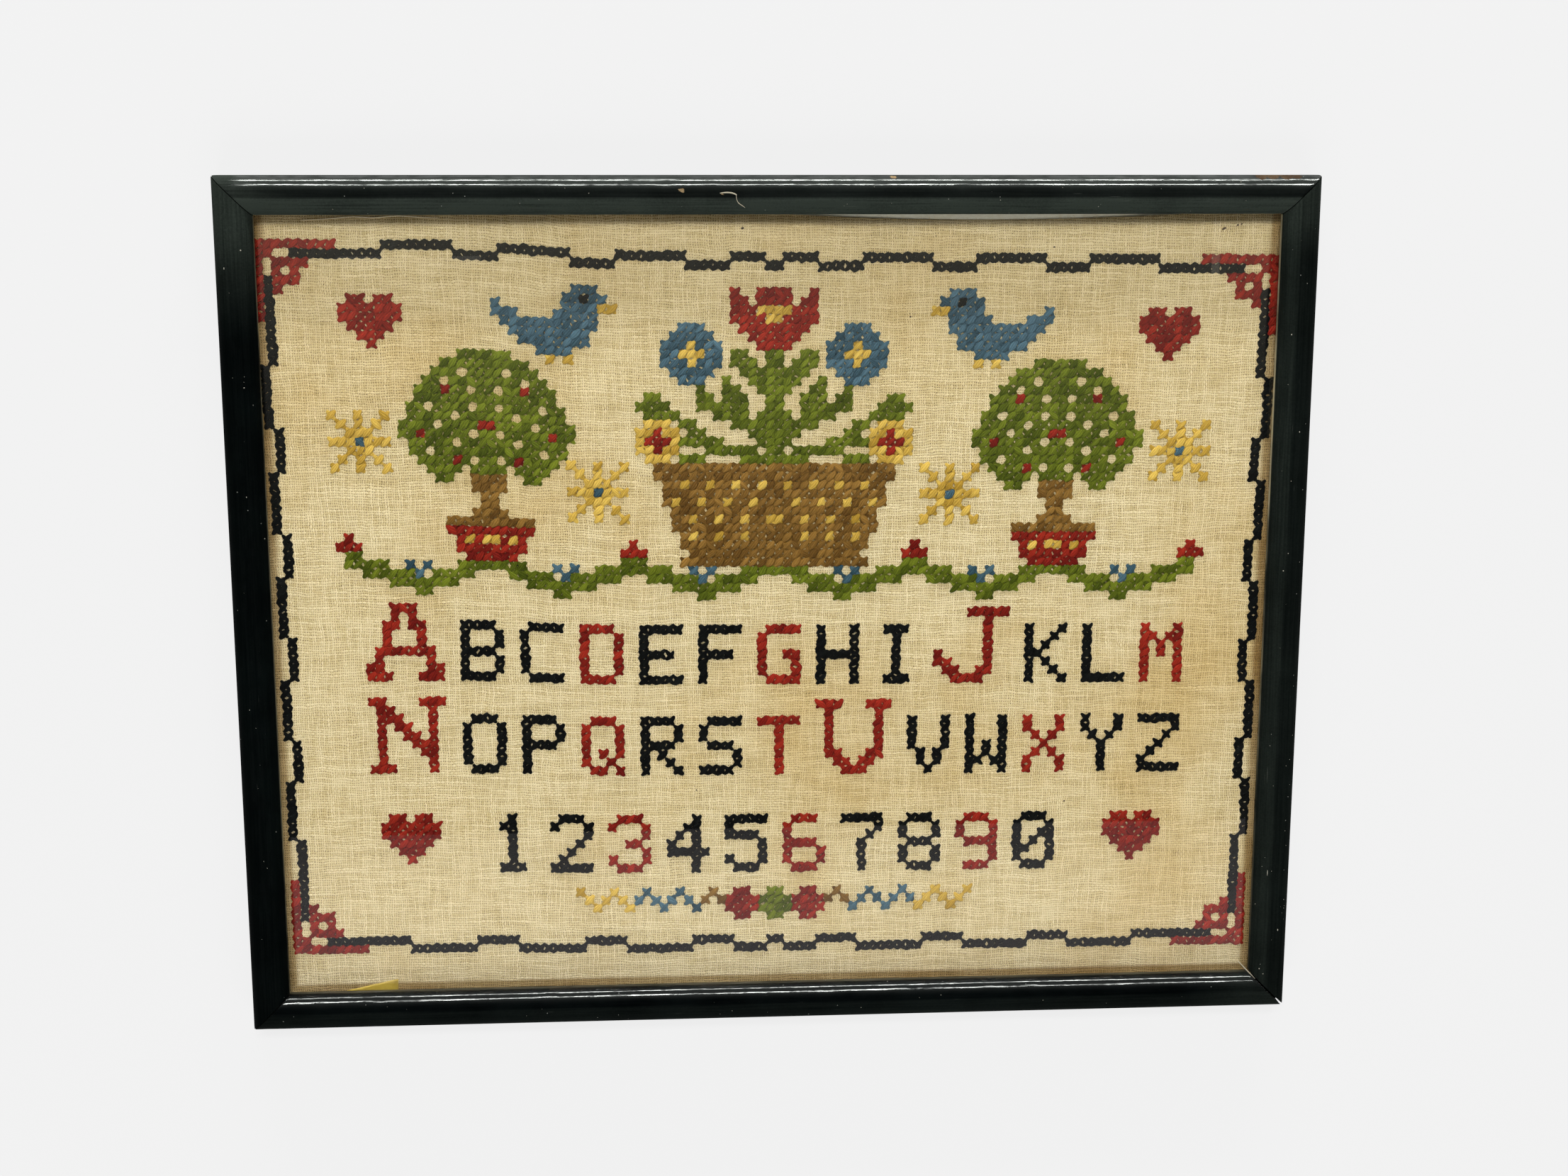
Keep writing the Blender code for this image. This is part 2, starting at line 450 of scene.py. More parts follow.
def paint_finish():
    """Old black-green paint, brushed along the rails, with specks, scratches and bare wood."""
    finish = Finish("black_green_paint", roughness=0.3)
    finish.set("Specular IOR Level", 0.05)
    finish.set("Coat Roughness", 0.04)
    finish.set("Coat IOR", 1.42)
    place = finish.mesh_place("rail_place")
    flat = finish.object_place()
    brush = finish.noise(finish.vector("MULTIPLY", place, (30.0, 1400.0, 1.0)), 1.0, 4.0, 0.6)
    cloud = finish.noise(flat, 34.0, 4.0, 0.6)
    grit = finish.noise(flat, 1500.0, 2.0)
    specks = finish.dots(flat, 260.0, 0.05, 0.3)
    ragged = finish.times_plus(finish.noise(flat, 700.0, 4.0, 0.65), 0.9, finish.mesh_number("bare"))
    bare = finish.ramp(ragged, 0.98, 1.04)
    lip = finish.times(finish.mesh_number("lip"), finish.ramp(cloud, 0.25, 0.6))
    finish.set("Base Color", paint_colour(finish, place, brush, cloud, grit, specks, bare, lip))

    worn = finish.larger(bare, finish.mesh_number("matt"))
    roughness = finish.larger(finish.times_plus(cloud, 0.35, 0.25), finish.times(worn, 0.9))
    finish.set("Roughness", finish.larger(roughness, finish.times(specks, 0.6)))
    finish.set("Coat Weight", paint_gloss(finish, place, brush, finish.larger(worn, lip)))

    relief = finish.times_plus(grit, 0.06, finish.times(brush, 0.20))
    relief = finish.times_plus(finish.noise(flat, 190.0, 1.0), 0.45, relief)
    relief = finish.times_plus(finish.noise(flat, 620.0, 1.0), 0.13, relief)
    relief = finish.math("SUBTRACT", relief, finish.times(bare, 0.8))
    finish.bump(finish.math("ADD", relief, specks), 0.00016, 0.7)
    finish.set("Coat Normal", finish.shader.inputs["Normal"].links[0].from_socket)
    return finish.material


def board_finish():
    """Pale grey card with fibres in it."""
    finish = Finish("grey_card", roughness=0.95)
    finish.set("Specular IOR Level", 0.2)
    flat = finish.object_place()
    fibre = finish.noise(finish.vector("MULTIPLY", flat, (500.0, 1400.0, 500.0)), 1.0, 4.0, 0.65)
    stain = finish.noise(flat, 14.0, 3.0)
    colour = finish.mix(finish.ramp(fibre, 0.3, 0.7), srgb(232, 226, 204), srgb(244, 240, 222))
    finish.set("Base Color", finish.mix(finish.ramp(stain, 0.45, 0.75), colour, srgb(226, 212, 178)))
    finish.bump(fibre, 0.0001, 0.5)
    return finish.material


def glass_finish():
    """Clear window glass, a little green and not quite flat."""
    finish = Finish("window_glass", roughness=0.0)
    finish.set("Base Color", (0.985, 1.0, 0.99, 1.0))
    finish.set("Transmission Weight", 1.0)
    finish.set("IOR", 1.5)
    finish.bump(finish.noise(finish.object_place(), 7.0, 1.0), 0.0002, 0.2)
    return finish.material


def tape_finish():
    """Sticky tape gone yellow."""
    finish = Finish("yellowed_tape", roughness=0.35)
    cloud = finish.noise(finish.object_place(), 420.0, 3.0)
    finish.set("Base Color", finish.mix(cloud, srgb(164, 136, 42), srgb(198, 170, 74)))
    finish.bump(cloud, 0.0001, 0.5)
    return finish.material


def fibre_finish(name, colour):
    """A loose pale fibre or splinter."""
    finish = Finish(name, roughness=0.6)
    cloud = finish.noise(finish.object_place(), 900.0, 2.0)
    finish.set("Base Color", finish.mix(cloud, colour, srgb(236, 228, 206)))
    finish.bump(cloud, 0.0001, 0.3)
    return finish.material


# Camera, floor and lights

def turned_to(place, aim, level=False):
    """A matrix that looks at its aim: with the sampler's top upwards, or with its own width level."""
    back = (place - aim).normalized()
    if level:
        right = Vector((-back.y, back.x, 0)).normalized() * (-1 if back.y > 0 else 1)
    else:
        right = Vector((0, 1, 0)).cross(back).normalized()
    up = back.cross(right)
    turn = Matrix((right, up, back)).transposed().to_4x4()
    return Matrix.Translation(place) @ turn


def add_camera():
    camera = bpy.data.objects.new("camera", bpy.data.cameras.new("camera"))
    camera.data.lens = CAMERA_LENS_MM
    camera.data.sensor_width = 36.0
    camera.data.clip_start = 0.01
    camera.matrix_world = turned_to(CAMERA_PLACE, CAMERA_AIM)
    bpy.context.scene.collection.objects.link(camera)
    bpy.context.scene.camera = camera


def add_softbox(name, place, aim, width, height, power, level=True):
    """A broad lamp that nothing mirrors."""
    light = bpy.data.lights.new(name, "AREA")
    light.shape = "RECTANGLE"
    light.size = width
    light.size_y = height
    light.energy = power
    softbox = bpy.data.objects.new(name, light)
    softbox.matrix_world = turned_to(Vector(place), Vector(aim), level)
    softbox.visible_glossy = False
    bpy.context.scene.collection.objects.link(softbox)
    return softbox


def add_mirrored_card(name, place, aim, width, height, brightness, pieces, level=True):
    """A pale card of that brightness, which only some pieces mirror and which lights nothing."""
    card = add_softbox(name, place, aim, width, height, brightness * math.pi * width * height, level)
    card.visible_glossy = True
    card.visible_diffuse = False
    receivers = bpy.data.collections.new(f"mirroring_{name}")
    for piece in pieces:
        receivers.objects.link(piece)
    card.light_linking.receiver_collection = receivers
    return card


# Parts of the glass that mirror something pale, as (left, right, lower, upper, brightness at the
# lower edge, brightness at the upper edge, share of blue)
GLASS_REFLECTIONS = [
    (-0.1835, 0.1830, -0.1444, -0.0850, 0.48, 0.22, 0.92),
    (-0.1850, 0.1830, 0.0150, 0.1440, 0.0, 0.40, 0.74),
    (0.1612, 0.1642, 0.1160, 0.1440, 0.5, 0.5, 0.74),
    (-0.1570, -0.1060, 0.1280, 0.1320, 0.3, 0.3, 0.85),
]


def add_reflected_cards(glass):
    """Pale cards overhead, each where the camera sees it mirrored in its part of the glass."""
    glass_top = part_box("glass_pane")[1][2]
    card_height = 2.0
    reach = card_height / (CAMERA_PLACE.z - glass_top)
    for number, (left, right, lower, upper, first, last, blue) in enumerate(GLASS_REFLECTIONS):
        middle = Vector(((left + right) / 2, (lower + upper) / 2, glass_top))
        place = middle + (middle - CAMERA_PLACE) * reach
        place.z = glass_top + card_height
        width, height = (right - left) * (1 + reach), (upper - lower) * (1 + reach)
        below = place - Vector((0.0, 0.0001, 1.0))
        card = add_mirrored_card(f"glass_card_{number}", place, below, width, height, 1.0, [glass], False)
        card.data.color = (1.0, 0.93, blue)
        graduate(card.data, first, last)


def graduate(light, first, last):
    """Makes a card's brightness go from first at its lower edge to last at its upper, faster there."""
    light.use_nodes = True
    nodes, links = light.node_tree.nodes, light.node_tree.links
    spot = nodes.new("ShaderNodeNewGeometry")
    parts = nodes.new("ShaderNodeSeparateXYZ")
    squared = nodes.new("ShaderNodeMath")
    squared.operation = "POWER"
    squared.inputs[1].default_value = 2.0
    level = nodes.new("ShaderNodeMath")
    level.operation = "MULTIPLY_ADD"
    level.inputs[1].default_value = last - first
    level.inputs[2].default_value = first
    links.new(spot.outputs["Parametric"], parts.inputs[0])
    links.new(parts.outputs[1], squared.inputs[0])
    links.new(squared.outputs[0], level.inputs[0])
    links.new(level.outputs[0], nodes["Emission"].inputs["Strength"])


# Bright strips that two of the rails mirror as lines, as (rail, place, width, height, brightness)
RAIL_HIGHLIGHTS = [
    ("top", (0.0, 1.75, 1.85), 2.4, 0.30, 60.0),
    ("top", (0.0, 2.2, 0.20), 2.4, 0.26, 60.0),
    ("bottom", (0.0, 1.85, 2.40), 2.4, 0.26, 68.0),
    ("bottom", (0.0, 2.2, 0.50), 2.4, 0.17, 68.0),
]


def add_rail_highlights():
    """The strips that the top and bottom rails mirror, seen by those rails alone."""
    for number, (side, place, width, height, brightness) in enumerate(RAIL_HIGHLIGHTS):
        rail = bpy.data.objects[f"moulding_{side}"]
        card = add_mirrored_card(
            f"rail_card_{number}", place, (0.0, 0.0, 0.0), width, height, brightness, [rail]
        )
        card.data.color = (0.96, 1.0, 0.95)


def add_floor():
    finish = Finish("pale_floor", roughness=0.9)
    cloud = finish.noise(finish.object_place(), 3.0, 2.0)
    finish.set("Base Color", finish.mix(cloud, (0.15, 0.15, 0.15, 1.0), (0.16, 0.16, 0.16, 1.0)))
    finish.set("Emission Color", (1.0, 1.0, 1.0, 1.0))
    finish.set("Emission Strength", 0.795)
    half = FLOOR_SIZE / 2
    corners = [(-half, -half, 0), (half, -half, 0), (half, half, 0), (-half, half, 0)]
    floor = mesh_object("floor", corners, [(0, 1, 2, 3)])
    floor.data.materials.append(finish.material)


def add_studio():
    """The floor, an even pale surround, a key light beyond the top edge and a fill."""
    add_floor()
    world = bpy.data.worlds.new("surround")
    world.use_nodes = True
    world.node_tree.nodes["Background"].inputs["Color"].default_value = (1.0, 1.0, 1.0, 1.0)
    world.node_tree.nodes["Background"].inputs["Strength"].default_value = 0.03
    bpy.context.scene.world = world
    add_softbox("key_light", (-0.2, 1.50, 2.50), (0.0, 0.0, 0.0), 1.4, 0.4, 28.5)
    add_softbox("low_light", (0.1, 2.2, 0.45), (0.0, 0.0, 0.0), 1.6, 0.11, 25.0)
    add_softbox("front_light", (0.1, -1.9, 1.2), (0.0, 0.0, 0.0), 2.8, 1.4, 24.5)
    bpy.context.scene.view_settings.view_transform = "Standard"


# The frame

def moulding_section():
    """The rail's section as (distance in from its outer side, height), in order round it."""
    steps = 10
    points = [(0.0, 0.0), (0.0, 0.003), (0.0, 0.006)]
    for step in range(steps + 1):
        angle = math.radians(180 - 90 * step / steps)
        reach = OUTER_SHOULDER * math.cos(angle)
        rise = (RAIL_DEPTH - OUTER_SIDE_HEIGHT) * math.sin(angle)
        points.append((OUTER_SHOULDER + reach, OUTER_SIDE_HEIGHT + rise))
    for share in (0.25, 0.5, 0.75):
        flat = RAIL_WIDTH - INNER_SHOULDER - OUTER_SHOULDER
        points.append((OUTER_SHOULDER + flat * share, RAIL_DEPTH))
    for step in range(steps + 1):
        angle = math.radians(90 - 90 * step / steps)
        reach = INNER_SHOULDER * math.cos(angle)
        rise = (RAIL_DEPTH - LIP_EDGE_HEIGHT) * math.sin(angle)
        points.append((RAIL_WIDTH - INNER_SHOULDER + reach, LIP_EDGE_HEIGHT + rise))
    rebate_wall = RAIL_WIDTH - REBATE_WIDTH
    points += [(RAIL_WIDTH, REBATE_DEPTH + LIP_BEVEL), (RAIL_WIDTH - LIP_BEVEL, REBATE_DEPTH)]
    points += [(rebate_wall, REBATE_DEPTH), (rebate_wall, 0.0)]
    return points


def rail_stations(length):
    """Shares along the rail, close together at the mitres, where its edges are worn round."""
    ends = np.array([0.0, 0.0003, 0.0007, 0.0014, 0.0024]) / length
    middle = np.linspace(ends[-1], 1.0 - ends[-1], int(length / 0.0016))[1:-1]
    return np.concatenate([ends, middle, 1.0 - ends[::-1]])


# Bare places on the paint, as (x, y, reach, how pale the wood is)
BARE_PLACES = [
    (-0.0338, 0.1552, 0.0010, 1.0),
    (-0.0190, 0.1539, 0.0007, 0.8),
    (0.0425, 0.1597, 0.0008, 1.0),
    (0.1770, 0.1602, 0.0016, 0.0),
    (0.1815, 0.1604, 0.0018, 0.1),
    (0.1865, 0.1603, 0.0018, 0.0),
    (0.1905, 0.1602, 0.0013, 0.0),
]
# How pale the lip's inner side is, from rail to rail
PALE_LIP = {"bottom": 0.10, "right": 1.0, "top": 0.35, "left": 0.30}


def rail_grid(section, length, joint, next_joint):
    """Points on a rail, with a row for each station: how far along, how far in and how high."""
    inset, height = section[:, 0], section[:, 1]
    mitre = np.maximum(inset, CORNER_ROUNDING * (1.0 - math.sqrt(0.5)))
    start = mitre + joint / 2 * math.sqrt(2)
    end = length - mitre - next_joint / 2 * math.sqrt(2)
    along = start[None, :] + (end - start)[None, :] * rail_stations(length)[:, None]
    from_corner = np.clip(CORNER_ROUNDING - np.minimum(along, length - along), 0.0, CORNER_ROUNDING)
    rounded = CORNER_ROUNDING - np.sqrt(CORNER_ROUNDING ** 2 - from_corner ** 2)
    off = np.maximum(np.broadcast_to(inset, along.shape), rounded)
    return along, off, np.broadcast_to(height, along.shape).copy()


def wear_down(rise, along, off, crown, near_end, length, rng):
    """Lowers a rail's edges at its mitres and dents its top."""
    rise -= 0.00009 * (1.0 - smooth(0.0, 0.0006, near_end)) * crown
    for _ in range(DENTS_ON_A_RAIL):
        middle = rng.uniform(0.0, length)
        spot = rng.uniform(0.001, 0.013)
        reach = rng.uniform(0.0012, 0.0032)
        distance = np.hypot((along - middle) / 1.6, off - spot)
        rise -= rng.uniform(0.00004, 0.00016) * (1.0 - smooth(0.0, reach, distance)) * crown


def bare_wood(x, y):
    """How bare a rail is at each point, and how pale its wood is there."""
    bare = np.zeros(len(x))
    pale = np.zeros(len(x))
    for spot_x, spot_y, reach, paleness in BARE_PLACES:
        distance = np.hypot((x - spot_x) / 1.5, y - spot_y)
        here = 1.0 - smooth(reach * 0.4, reach * 1.6, distance)
        bare = np.maximum(bare, 0.85 * here)
        pale = np.maximum(pale, paleness * (here > 0.0))
    return bare, pale


def rail_dust_and_sheen(side, along, off):
    """How dusty a rail is, and how much painted sheen its slopes have, across its width and along it."""
    inward, outward = smooth(0.0078, 0.0088, off), 1.0 - smooth(0.0020, 0.0060, off)
    outer_half = 1.0 - smooth(0.0066, 0.0078, off)
    # The bands across the width are painted sheen, where a slope mirrors the room; the even share is dust,
    # and the paint is paler towards some ends.
    return {
        "bottom": 0.01 + 0.10 * outer_half + 0.16 * smooth(0.360, 0.385, along),
        "right": 0.16 + 0.20 * inward + 0.50 * smooth(0.290, 0.315, along),
        "top": 0.14 + 0.90 * inward + 0.38 * outward + 0.40 * smooth(0.370, 0.392, along),
        "left": 0.05 + 0.75 * (1.0 - smooth(0.0, 0.060, along)),
    }[side]


def rail_matt(side, along, off):
    """How matt a rail is, from none at 0 to all at 1."""
    outermost, by_lip = 1.0 - smooth(0.0035, 0.0050, off), smooth(0.0106, 0.0118, off)
    side_edge, inward = 1.0 - smooth(0.0, 0.0006, off), smooth(0.0078, 0.0088, off)
    return {
        "bottom": np.maximum(outermost, 0.6 * smooth(0.375, 0.385, along)),
        "right": np.maximum(outermost, by_lip),
        "top": np.maximum.reduce([side_edge, inward, smooth(0.388, 0.393, along)]),
        "left": np.maximum(outermost, by_lip),
    }[side]


def pale_lip(side, section, along):
    """How pale the lip's inner side is."""
    on_lip = (section[:, 0] > RAIL_WIDTH - 0.0003) & (section[:, 1] <= LIP_EDGE_HEIGHT)
    lip = np.broadcast_to(PALE_LIP[side] * on_lip, along.shape)
    if side == "right":
        lip = lip * (0.15 + 0.3 * smooth(0.095, 0.115, along) + 0.55 * smooth(0.180, 0.205, along))
    return lip


def add_rail(side, length, joint, next_joint, corner, turn, material, rng):
    """One rail, made along +X from its own corner and turned, with the numbers that its paint reads."""
    section = np.array(moulding_section())
    along, off, rise = rail_grid(section, length, joint, next_joint)
    shares = rail_stations(length)
    near_end = np.minimum(shares, 1.0 - shares)[:, None] * length
    crown = smooth(0.006, 0.0100, rise)
    wear_down(rise, along, off, crown, near_end, length, rng)

    turned = Matrix.Translation((*corner, 0.0)) @ Matrix.Rotation(math.radians(90 * turn), 4, "Z")
    points = np.stack([along, off, rise, np.ones_like(along)], axis=-1).reshape(-1, 4) @ np.array(turned).T
    faces = [face[::-1] for face in loft_faces(len(shares), len(section))]
    rail = mesh_object(f"moulding_{side}", points[:, :3].tolist(), faces)
    rail.data.set_sharp_from_angle(angle=math.radians(38))

    girth = np.concatenate([[0.0], np.cumsum(np.hypot(*np.diff(section, axis=0).T))])
    places = [along, np.broadcast_to(girth, along.shape), np.full(along.shape, float(turn))]
    add_place(rail, "rail_place", np.stack(places, axis=-1))
    bare, pale = bare_wood(points[:, 0], points[:, 1])
    corner_wear = 0.36 * (1.0 - smooth(0.0, 0.0008, near_end)) * crown
    add_number(rail, "bare", np.maximum(bare, corner_wear.ravel()))
    add_number(rail, "pale", pale)
    add_number(rail, "lip", pale_lip(side, section, along))
    add_number(rail, "dust_and_sheen", rail_dust_and_sheen(side, along, off))
    add_number(rail, "matt", rail_matt(side, along, off))
    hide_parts(f"rail_{side}")
    dress(rail, material)


def add_frame():
    """The four rails, in order round the frame, each turned a quarter from the last."""
    rng = np.random.default_rng(SEED)
    paint = paint_finish()
    half_width, half_height = FRAME_WIDTH / 2, FRAME_HEIGHT / 2
    sides = [
        ("bottom", FRAME_WIDTH, (-half_width, -half_height)),
        ("right", FRAME_HEIGHT, (half_width, -half_height)),
        ("top", FRAME_WIDTH, (half_width, half_height)),
        ("left", FRAME_HEIGHT, (-half_width, half_height)),
    ]
    for turn, (side, length, corner) in enumerate(sides):
        next_side = sides[(turn + 1) % 4][0]
        add_rail(side, length, MITRE_JOINTS[side], MITRE_JOINTS[next_side], corner, turn, paint, rng)


def rail_surface(inset):
    """The height of the moulding's rounded top, and how it leans outwards, at a distance in."""
    if inset < OUTER_SHOULDER:
        share = (OUTER_SHOULDER - inset) / OUTER_SHOULDER
        rise = (RAIL_DEPTH - OUTER_SIDE_HEIGHT) * math.sqrt(max(0.0, 1.0 - share * share))
        lean = share / OUTER_SHOULDER / max(rise / (RAIL_DEPTH - OUTER_SIDE_HEIGHT) ** 2, 1.0)
        return OUTER_SIDE_HEIGHT + rise, lean
    if inset < RAIL_WIDTH - INNER_SHOULDER:
        return RAIL_DEPTH, 0.0
    share = min(1.0, (inset - RAIL_WIDTH + INNER_SHOULDER) / INNER_SHOULDER)
    rise = (RAIL_DEPTH - LIP_EDGE_HEIGHT) * math.sqrt(1.0 - share * share)
    lean = share / INNER_SHOULDER / max(rise / (RAIL_DEPTH - LIP_EDGE_HEIGHT) ** 2, 1.0)
    return LIP_EDGE_HEIGHT + rise, -lean


# A dark filling in each mitre, as (x side, y side, thickness, depth below the paint, from, to)
MITRE_FILLINGS = [
    (-1, -1, 0.00024, 0.0005, 0.0008, 0.0134),
    (-1, 1, 0.00024, 0.0005, 0.0008, 0.0134),
    (1, 1, 0.00024, 0.0005, 0.0008, 0.0134),
    (1, -1, 0.00070, 0.0026, 0.0032, 0.0126),
]


def add_mitre_fillings():
    finish = Finish("dark_mitre_fill", roughness=0.9)
    finish.set("Specular IOR Level", 0.1)
    cloud = finish.noise(finish.object_place(), 900.0, 2.0)
    finish.set("Base Color", finish.mix(cloud, srgb(6, 7, 6), srgb(22, 20, 16)))
    points = []
    faces = []
    stations = 14
    bottom = REBATE_DEPTH + LIP_BEVEL
    for x_side, y_side, thickness, depth, first, last in MITRE_FILLINGS:
        base = len(points)
        across = Vector((x_side, -y_side, 0.0)).normalized() * (thickness / 2)
        for step in range(stations):
            inset = first + (last - first) * step / (stations - 1)
            top = max(rail_surface(inset)[0] - depth, bottom + 0.0003)
            x, y = x_side * (FRAME_WIDTH / 2 - inset), y_side * (FRAME_HEIGHT / 2 - inset)
            for way, height in ((-1, bottom), (1, bottom), (1, top), (-1, top)):
                points.append(Vector((x, y, height)) + across * way)
        faces += loft_faces(stations, 4, base)
    filling = mesh_object("mitre_dark_fill", points, faces, soft=False)
    dress(filling, finish.material)


# Pale specks and scratches on the rails, as (x, y, length, width)
PAINT_SPECKS = [
    (-0.1899, 0.1343, 0.0006, 0.0006),
    (-0.1910, 0.0856, 0.0005, 0.0005),
    (-0.1921, 0.0460, 0.0006, 0.0004),
    (-0.1867, 0.0303, 0.0005, 0.0004),
    (-0.1948, -0.0334, 0.0005, 0.0004),
    (-0.1950, 0.1050, 0.0026, 0.0002),
    (-0.1960, 0.1280, 0.0010, 0.0004),
    (0.1901, 0.1028, 0.0006, 0.0005),
    (0.1904, -0.1047, 0.0030, 0.0003),
    (0.1948, 0.0668, 0.0006, 0.0004),
    (0.1911, 0.0143, 0.0005, 0.0005),
    (0.1890, -0.1440, 0.0006, 0.0005),
    (0.1905, -0.1460, 0.0005, 0.0004),
    (0.1955, -0.1280, 0.0009, 0.0005),
    (0.1945, -0.1210, 0.0024, 0.0002),
    (0.1868, -0.1180, 0.0004, 0.0004),
    (0.0165, 0.1572, 0.0006, 0.0004),
    (0.1690, 0.1580, 0.0007, 0.0003),
]


def speck_mesh(name, places):
    """Small flat lumps, as (middle, upward, along, half length, half width)."""
    points = []
    faces = []
    sides = 8
    for middle, upward, along, length, width in places:
        base = len(points)
        across = upward.cross(along).normalized()
        for reach, rise in ((1.0, 0.0), (0.6, 0.22 * width)):
            for turn in range(sides):
                angle = 2 * math.pi * turn / sides
                flat = along * (length * math.cos(angle)) + across * (width * math.sin(angle))
                points.append(middle + flat * reach + upward * rise)
        points.append(middle + upward * (0.3 * width))
        points.append(middle - upward * (0.3 * width))
        for turn in range(sides):
            here, beside = base + turn, base + (turn + 1) % sides
            faces.append((here, beside, beside + sides, here + sides))
            faces.append((here + sides, beside + sides, base + 2 * sides))
            faces.append((beside, here, base + 2 * sides + 1))
    return mesh_object(name, points, faces)


def add_paint_specks():
    rng = np.random.default_rng(SEED + 3)
    specks = list(PAINT_SPECKS)
    for _ in range(FINE_SPECKS):
        across, inset = rng.uniform(-1.0, 1.0), rng.uniform(0.002, 0.012)
        length, width = rng.uniform(0.00022, 0.00045), rng.uniform(0.00018, 0.00032)
        x_side, y_side = rng.choice([-1, 1]), rng.choice([-1, 1])
        if rng.random() < 0.45:
            specks.append((across * 0.185, y_side * (FRAME_HEIGHT / 2 - inset), length, width))
        else:
            specks.append((x_side * (FRAME_WIDTH / 2 - inset), across * 0.145, length, width))
    places = []
    for x, y, length, width in specks:
        from_side, from_end = FRAME_WIDTH / 2 - abs(x), FRAME_HEIGHT / 2 - abs(y)
        outward = Vector((math.copysign(1, x), 0, 0))
        if from_side >= from_end:
            outward = Vector((0, math.copysign(1, y), 0))
        height, lean = rail_surface(min(from_side, from_end))
        upward = (Vector((0, 0, 1)) + outward * lean).normalized()
        along = Vector((0, 0, 1)).cross(outward)
        places.append((Vector((x, y, height)) - upward * 0.00003, upward, along, length / 2, width / 2))
    material = fibre_finish("pale_speck", srgb(168, 170, 160))
    dress(speck_mesh("paint_specks", places), material)


# The linen

def linen_dip(x, y):
    """How far the linen dips below its flat height: two slow ripples, as in its solid, and finer ones."""
    across = np.sin(38.0 * x + 9.0 * y + 0.6)
    along = np.sin(52.0 * y - 14.0 * x + 1.1)
    slow = 0.5 - 0.3 * across - 0.2 * along
    fine = np.sin(210.0 * y + 17.0 * x + 1.4 * np.sin(31.0 * x)) * np.sin(23.0 * x + 5.0 * y + 0.8)
    finer = np.sin(410.0 * y - 60.0 * x + 2.0 * np.sin(44.0 * x + 2.0))
    return RIPPLE_DEPTH * (slow + 0.22 * fine + 0.07 * finer)


def cut_edge(x):
    """The cloth's top edge: straight, but for the part that sags into view."""
    sag = np.clip(1.0 - ((x - SAG_CENTRE) / SAG_HALF_WIDTH) ** 2, 0.0, None)
    return CUT_EDGE_Y - SAG_DEPTH * sag, sag


def edge_sink(x, y):
    """How far the cloth sinks towards the board along its sagging edge."""
    edge, sag = cut_edge(x)
    return SAG_SINK * sag * (1.0 - smooth(0.0, 0.0060, edge - y))


def linen_height(x, y):
    return LINEN_TOP - linen_dip(x, y) - edge_sink(x, y)


def cloth_pull(across, up):
    """How the mounted cloth is pulled out of square, at a point of the pattern as it was drawn."""
    lower = smooth(0.0, 0.130, 0.130 - up)
    left = smooth(0.050, 0.125, -across)
    higher = 0.35 + 0.65 * smooth(-0.130, 0.130, up)
    pull_x = -NARROWING * lower * across
    pull_y = -PATTERN_TILT * across + TOP_LEFT_LIFT * left * higher
    return pull_x, pull_y


def on_cloth(column, row):
    """Where a corner of the grid of cells lies on the mounted cloth."""
    across = (column - COLUMNS / 2) * CELL
    up = (ROWS / 2 - row) * CELL
    pull_x, pull_y = cloth_pull(across, up)
    return across + pull_x, up + pull_y + PATTERN_MIDDLE_Y


def drawn_place(x, y):
    """The reverse: where a point of the mounted cloth was before it was pulled."""
    across, up = x.copy(), y - PATTERN_MIDDLE_Y
    for _ in range(4):
        pull_x, pull_y = cloth_pull(across, up)
        across, up = x - pull_x, y - PATTERN_MIDDLE_Y - pull_y
    return across, up


def add_linen():
    """The cloth as one thin sheet, with its cut top edge sagging into view."""
    low, high = (np.array(corner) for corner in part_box("linen_cloth"))
    columns, rows = 152, 120
    x = np.linspace(low[0], high[0], columns + 1)
    top_edge, _ = cut_edge(x)
    share = np.linspace(0.0, 1.0, rows + 1) ** 0.8
    grid_x = np.broadcast_to(x, (rows + 1, columns + 1))
    grid_y = low[1] + share[:, None] * (top_edge - low[1])[None, :]
    top = linen_height(grid_x, grid_y)
    bottom = np.maximum(top - LINEN_THICKNESS + 0.6 * edge_sink(grid_x, grid_y), BOARD_TOP + 0.00003)
    layer = (rows + 1) * (columns + 1)
    points = np.concatenate([
        np.stack([grid_x, grid_y, top], axis=-1).reshape(-1, 3),
        np.stack([grid_x, grid_y, bottom], axis=-1).reshape(-1, 3),
    ])
    number = np.arange(layer).reshape(rows + 1, columns + 1)
    quads = np.stack([number[:-1, :-1], number[:-1, 1:], number[1:, 1:], number[1:, :-1]], axis=-1)
    quads = quads.reshape(-1, 4)
    rim = np.concatenate([number[0, :], number[1:, -1], number[-1, -2::-1], number[-2:0:-1, 0]])
    beyond = np.roll(rim, -1)
    walls = np.stack([beyond, rim, rim + layer, beyond + layer], axis=-1)
    faces = np.concatenate([quads, quads[:, ::-1] + layer, walls]).tolist()
    linen = mesh_object("linen_sampler_cloth", points.tolist(), faces)
    linen.data.set_sharp_from_angle(angle=math.radians(40))
    across, up = drawn_place(points[:, 0], points[:, 1])
    add_place(linen, "weave_place", np.stack([across, up, np.zeros_like(up)], axis=-1))
    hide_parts("linen_cloth")
    dress(linen, linen_finish())
    return linen


# The charts. Each letter is a cross in one colour: k black, r red, b blue, g green, n brown, y yellow

CORNER = [
    "rrrrrrrrr",
    "rr.......",
    "r.rrrr...",
    "r.r.r....",
    "r.rrr....",
    "r.r......",
    "r........",
    "r........",
    "r........",
]
# The border's black line starts so many cells from each corner, and steps in and out in these runs
BORDER_START = 4
BORDER_ACROSS = [10, 8, 5, 8, 5, 8, 5, 4, 2, 4, 5, 8, 5, 8, 5, 8, 10]
BORDER_DOWN = [10, 7, 5, 7, 5, 7, 5, 7, 5, 7, 10]

